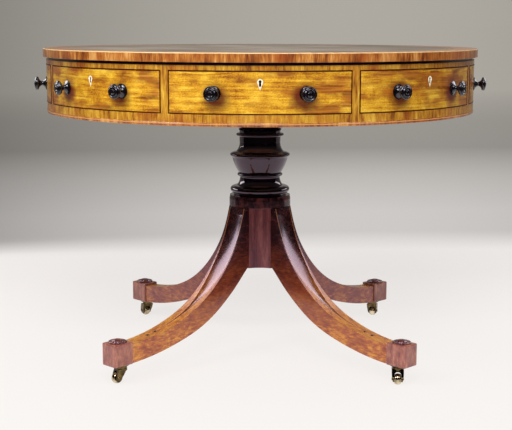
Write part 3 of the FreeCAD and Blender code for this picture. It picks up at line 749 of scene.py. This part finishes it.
hide_tones = (
    (0.34, (104, 91, 78)),
    (0.50, (133, 120, 106)),
    (0.66, (157, 146, 132)),
)
hide_crease_tone = (84, 72, 58)
gilt_tone = (196, 160, 88)
ebony_tones = (
    (0.15, (8, 5, 7)),
    (0.30, (16, 10, 13)),
    (0.50, (30, 20, 20)),
)
bead_tones = (
    (0.15, (48, 12, 6)),
    (0.32, (74, 25, 12)),
    (0.50, (108, 46, 22)),
)
bone_tones = (
    (0.30, (236, 222, 188)),
    (0.60, (252, 244, 222)),
)
bone_pore_tone = (178, 150, 104)

# Each metal has a bright tone, a dull tone and the roughness of both
lock_brass = ((214, 172, 92), (120, 92, 44), (0.25, 0.5))
fork_brass = ((124, 104, 68), (36, 28, 20), (0.06, 0.22))
wheel_brass = ((238, 224, 192), (126, 104, 74), (0.04, 0.16))
dull_iron = ((92, 88, 84), (52, 42, 36), (0.4, 0.7))


def leather(name):
    """A tooled lining: fine grain, worn patches and two gilt lines near its edge."""
    wide_line = (12.0 * millimetre, 1.1 * millimetre)
    thin_line = (21.0 * millimetre, 0.5 * millimetre)
    softness = 0.3 * millimetre
    pebble_stretch = (420.0, 420.0, 0.0)
    crease_stretch, crease_detail = (130.0, 130.0, 130.0), 4.0
    wear_stretch, wear_detail = (4.5, 4.5, 4.5), 5.0
    crease_share = 0.22
    worn_from, worn_to = 0.34, 0.46
    gilding = 0.9
    pebble_height, line_depth = 0.6, 0.8
    relief = 0.25 * millimetre
    shiny, dull = 0.42, 0.66
    material, graph, shader = new_material(name)
    place = graph.place()
    radius = graph.length(*graph.split(place)[:2])
    pebble = graph.cells(place, pebble_stretch)
    crease = graph.noise(place, crease_stretch, crease_detail)
    wear = graph.noise(place, wear_stretch, wear_detail)
    hide = graph.ramp(wear, hide_tones)
    hide = graph.mix(graph.times(crease, crease_share), hide, linear(hide_crease_tone))
    lines = 0.0
    for inset, half_width in (wide_line, thin_line):
        line = graph.stripe(radius, leather_radius - inset, half_width, softness)
        lines = graph.math("MAXIMUM", lines, line)
    gilt = graph.times(lines, graph.between(crease, worn_from, worn_to))
    colour = graph.mix(gilt, hide, linear(gilt_tone))
    graph.feed(shader.inputs["Metallic"], graph.times(gilt, gilding))
    height = graph.minus(graph.times(pebble, pebble_height), graph.times(lines, line_depth))
    finish(graph, shader, colour, graph.spread(wear, shiny, dull), height, relief)
    return material


def ebonised(name, tones, gloss):
    """Dark-stained wood that is rubbed a little brown."""
    grain_stretch, grain_detail = (160.0, 160.0, 60.0), 4.0
    rubbed_stretch, rubbed_detail = (60.0, 60.0, 60.0), 3.0
    shiny, dull = 0.14, 0.26
    relief = 0.003 * millimetre
    material, graph, shader = new_material(name)
    place = graph.place()
    grain = graph.noise(place, grain_stretch, grain_detail)
    rubbed = graph.noise(place, rubbed_stretch, rubbed_detail)
    colour = graph.ramp(graph.times(grain, rubbed), tones)
    finish(graph, shader, colour, graph.spread(rubbed, shiny, dull), grain, relief)
    polish(shader, gloss, ebony_polish_tone)
    return material


def bone(name):
    """Old bone: ivory with faint darker pores."""
    cloud_stretch, cloud_detail = (220.0, 220.0, 220.0), 3.0
    pore_stretch, pore_detail = (1400.0, 1400.0, 260.0), 2.0
    pores_from, pores_to = 0.58, 0.7
    pore_share = 0.5
    shiny, dull = 0.2, 0.6
    relief = 0.03 * millimetre
    material, graph, shader = new_material(name)
    place = graph.place()
    clouds = graph.noise(place, cloud_stretch, cloud_detail)
    pores = graph.noise(place, pore_stretch, pore_detail)
    speck = graph.times(graph.between(pores, pores_from, pores_to), pore_share)
    colour = graph.mix(speck, graph.ramp(clouds, bone_tones), linear(bone_pore_tone))
    finish(graph, shader, colour, graph.spread(clouds, shiny, dull), pores, relief)
    return material


def metal(name, bright, dull, roughness, keyed=False):
    """Metal, bright where it is handled and dull elsewhere; keyed metal gets painted shade in the
    keyhole.
    """
    tarnish_stretch, tarnish_detail = (60.0, 60.0, 60.0), 2.0
    tarnish_from, tarnish_to = 0.36, 0.68
    scratch_stretch, scratch_detail = (900.0, 900.0, 200.0), 2.0
    relief = 0.03 * millimetre
    material, graph, shader = new_material(name)
    place = graph.place()
    tarnish = graph.noise(place, tarnish_stretch, tarnish_detail)
    scratch = graph.noise(place, scratch_stretch, scratch_detail)
    colour = graph.mix(graph.between(tarnish, tarnish_from, tarnish_to), linear(bright), linear(dull))
    rough = graph.spread(tarnish, *roughness)
    shader.inputs["Metallic"].default_value = full
    if keyed:
        hole = in_keyhole(graph, *graph.split(place))
        colour = graph.mix(hole, colour, linear(keyhole_shade_tone))
        rough = graph.math("MAXIMUM", rough, hole)
        graph.feed(shader.inputs["Metallic"], graph.opposite(hole))
    finish(graph, shader, colour, rough, scratch, relief)
    return material


# Where each finish goes, with what sets one piece's finish apart from another's

rail_offset = (3.1, 0.4, 0)
base_offset = (5.2, 1.4, 0)
# How strongly each veneer takes the painted shade towards the drum's sides
top_side_shade, top_rail_side_shade, rail_side_shade, base_side_shade = 0.7, 1.7, 0.7, 1.0
bare_roughness = (0.5, 0.8)
column_roughness, column_gloss = (0.04, 0.12), 0.9
foot_roughness, foot_coat = (0.2, 0.5), 0.5
roundel_roughness, roundel_gloss = (0.15, 0.35), 0.8
knob_gloss, bead_gloss, peg_gloss = 1.0, 0.2, 0.3

top_veneer = cross_banded("top_veneer", edge_tones, no_offset, top_side_shade, arris_highlight, underside)
top_rail_veneer = cross_banded("top_rail_veneer", rail_tones, rail_offset, top_rail_side_shade, overhang_shade, gap_shade)
rail_veneer = cross_banded("rail_veneer", rail_tones, rail_offset, rail_side_shade)
base_veneer = cross_banded("base_veneer", edge_tones, base_offset, base_side_shade, base_highlight, underside)
dress(top_veneer, "top_banding")
dress(top_rail_veneer, "top_rail")
dress(rail_veneer, "bottom_rail", "stiles")
dress(base_veneer, "base_board")
dress(figured_front("front_veneer"), "sham_fronts", *on_every_side("drawer_front"))
dress(leather("table_leather"), "leather_top")
dress(ebonised("ebonised_knobs", ebony_tones, knob_gloss), "sham_knobs", *on_every_side("drawer_knobs"))
dress(ebonised("ebonised_beads", bead_tones, bead_gloss), "sham_beads", *on_every_side("drawer_bead"))
dress(bone("bone"), "sham_escutcheons", *on_every_side("drawer_escutcheon"))
dress(metal("lock_brass", *lock_brass, keyed=True), *on_every_side("drawer_lock"))
dress(plain_wood("drawer_oak", oak_layers, oak_tones, bare_roughness), *on_every_side("drawer_box"))
pine = plain_wood("carcass_pine", pine_layers, pine_tones, bare_roughness)
dress(pine, "partitions", "drawer_runners", "bearing_block", "top_board", "bearer_plate")
column_wood = plain_wood(
    "column_wood", column_layers, column_tones, column_roughness, gloss=column_gloss,
)
dress(column_wood, "column")
dress(block_wood("block_wood"), "pedestal_block")
dress(plain_wood("foot_wood", foot_layers, foot_tones, foot_roughness, foot_coat), "foot_blocks")
roundel_wood = plain_wood(
    "roundel_wood", foot_layers, roundel_tones, roundel_roughness, gloss=roundel_gloss,
)
dress(roundel_wood, "foot_roundels")
for corner, azimuth in corner_azimuths.items():
    dress(leg_wood("leg_wood_" + corner, azimuth, pink_shares[corner]), "leg_" + corner)
dress(ebonised("ebony_pegs", ebony_tones, peg_gloss), "leg_pegs")
dress(metal("iron", *dull_iron), "leg_strap", "wood_screws", "turning_pin")
dress(metal("fork_brass", *fork_brass), "caster_plates", *at_every_corner("caster_fork"))
dress(metal("wheel_brass", *wheel_brass), *at_every_corner("caster_wheel"))

# The studio: white paper under the table that greys into the distance, a dark room in front of it,
# softboxes in front and above, and two lamps behind that put a sheen on the polished wood.
# The paper's tones are given by their distance from a spot in front of the table, and steady_shares
# says how much of them doesn't depend on the lamps.

floor_reach = 400.0
paper_centre_y = -1.0
paper_scale = 13.0
paper_tones = (
    (0.00, (247, 243, 240)),
    (1.35, (249, 245, 242)),
    (2.30, (251, 247, 244)),
    (2.68, (216, 212, 209)),
    (3.20, (213, 209, 206)),
    (4.35, (187, 183, 179)),
    (5.90, (150, 146, 141)),
    (8.20, (153, 149, 143)),
    (12.8, (171, 167, 159)),
)
far_tone = paper_tones[-1][-1]
steady_shares = (
    (0.00, 0.90),
    (1.20, 0.88),
    (1.90, 0.58),
    (2.60, 0.58),
    (4.40, 1.00),
)
paper_squeeze = 0.5
paper_tilt = 0.1
paper_roughness = 0.9
side_slope = 0.72
side_fall = 4.4
side_least = 0.5
side_near = 1.98
slope_near = 2.35
slope_far = 2.62
ambient_tone = (172, 170, 170)


def sideways(graph, x):
    """How the paper's light falls off to both sides, the left side darker."""
    fall = graph.times(graph.minus(side_slope, graph.times(x, side_fall)), x)
    return graph.math("MAXIMUM", graph.plus(full, fall), side_least)


def paper_light(graph):
    """The paper's tone at each place, and how much of it doesn't depend on the lamps."""
    x, y = graph.split(graph.place())[:2]
    reach = graph.length(graph.times(x, paper_squeeze), graph.minus(y, paper_centre_y))
    reach = graph.minus(reach, graph.times(x, paper_tilt))
    scaled = graph.share_of(reach, paper_scale)
    tones, steady = [
        graph.ramp(scaled, [(distance / paper_scale, value) for distance, value in table])
        for table in (paper_tones, steady_shares)
    ]
    slope = graph.minus(sideways(graph, graph.share_of(x, graph.plus(reach, side_near))), full)
    shade = graph.plus(full, graph.times(slope, graph.between(reach, slope_near, slope_far)))
    return graph.scaled(tones, shade), steady


def add_floor():
    mesh = bpy.data.meshes.new("floor")
    corners = [(x * floor_reach, y * floor_reach, 0) for x, y in ((-1, -1), (1, -1), (1, 1), (-1, 1))]
    mesh.from_pydata(corners, [], [range(len(corners))])
    floor = bpy.data.objects.new("floor", mesh)
    scene.collection.objects.link(floor)
    material, graph, shader = new_material("floor_paper")
    lit, steady = paper_light(graph)
    glow = graph.node("ShaderNodeEmission")
    graph.feed(glow.inputs["Color"], lit)
    finish(graph, shader, lit, paper_roughness)
    shader.inputs["Specular IOR Level"].default_value = 0.0
    blend = graph.node("ShaderNodeMixShader")
    share, lit_by_lamps, lit_by_itself = blend.inputs
    graph.feed(share, graph.times(graph.seen(), steady))
    graph.feed(lit_by_lamps, shader.outputs[0])
    graph.feed(lit_by_itself, glow.outputs[0])
    output = material.node_tree.nodes["Material Output"]
    graph.feed(output.inputs["Surface"], blend.outputs[0])
    mesh.materials.append(material)


def add_world():
    world = bpy.data.worlds.new("studio")
    world.use_nodes = True
    scene.world = world
    graph = Graph(world.node_tree)
    background = world.node_tree.nodes["Background"]
    direction = graph.node("ShaderNodeTexCoord").outputs["Generated"]
    x = graph.split(direction)[0]
    backdrop = graph.scaled(linear(far_tone)[:-1], sideways(graph, x))
    colour = graph.mix(graph.seen(), linear(ambient_tone), backdrop)
    graph.feed(background.inputs["Color"], colour)


# The dark room in front of the table: each line has a radius and a height
room_lines = ((1.5, 0.002), (3.8, 0.002), (3.8, 3.8))
room_tone = (20, 18, 20)
room_half_angle = 105
room_step = 15


def add_room():
    """Floor, walls and ceiling of the room, which only reflections show."""
    steps = room_half_angle // room_step
    angles = [math.radians(room_step * step) for step in range(-steps, steps + 1)]
    points = []
    lines = []
    for radius, height in room_lines:
        lines.append(range(len(points), len(points) + len(angles)))
        points += [(radius * math.sin(angle), -radius * math.cos(angle), height) for angle in angles]
    faces = []
    for near, far in zip(lines, lines[1:]):
        faces += zip(near, near[1:], far[1:], far)
    faces.append(tuple(lines[-1]))
    mesh = bpy.data.meshes.new("room")
    mesh.from_pydata(points, [], faces)
    room = bpy.data.objects.new("room", mesh)
    scene.collection.objects.link(room)
    material, graph, shader = new_material("room_walls")
    finish(graph, shader, linear(room_tone), full)
    mesh.materials.append(material)
    room.visible_camera = False
    room.visible_diffuse = False
    room.visible_shadow = False
    room.visible_transmission = False


# Each softbox has a name, a place, a size and a power
drum_middle = (0, 0, 0.69)
softboxes = (
    ("softbox_left", (-1.7, -1.45, 2.05), 0.8, 27.0),
    ("softbox_right", (1.7, -1.45, 2.05), 0.8, 9.0),
    ("softbox_front", (0, -2.2, 2.4), 1.0, 34.0),
    ("softbox_over", (0, -0.4, 3.2), 2.0, 26.0),
)
# The lamps behind the table light only the nodes that are glossy
legs_middle = (0, -0.1, 0.2)
sheens = (
    ("sheen", (-1.95, 1.0, 1.55), 1.5, 36.0),
    ("sheen", (1.95, 1.0, 1.85), 1.9, 45.0),
)
glossy_nodes = [
    "column", "sham_knobs", "foot_roundels", *on_every_side("drawer_knobs"), *at_every_corner("leg"),
]


def add_lamp(name, place, size, power, aim):
    data = bpy.data.lights.new(name, "AREA")
    data.shape = "SQUARE"
    data.size = size
    data.energy = power
    lamp = bpy.data.objects.new(name, data)
    lamp.visible_camera = False
    scene.collection.objects.link(lamp)
    towards = Vector(aim) - Vector(place)
    turn = towards.to_track_quat("-Z", "Y").to_matrix().to_4x4()
    lamp.matrix_world = Matrix.Translation(place) @ turn
    return lamp


def add_sheens():
    """The lamps behind, and the collection that they light."""
    glossy = bpy.data.collections.new("glossy")
    for name in glossy_nodes:
        glossy.objects.link(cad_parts[name])
    for row in sheens:
        sheen = add_lamp(*row, legs_middle)
        sheen.visible_diffuse = False
        sheen.light_linking.receiver_collection = glossy


add_floor()
add_world()
add_room()
for row in softboxes:
    add_lamp(*row, drum_middle)
add_sheens()
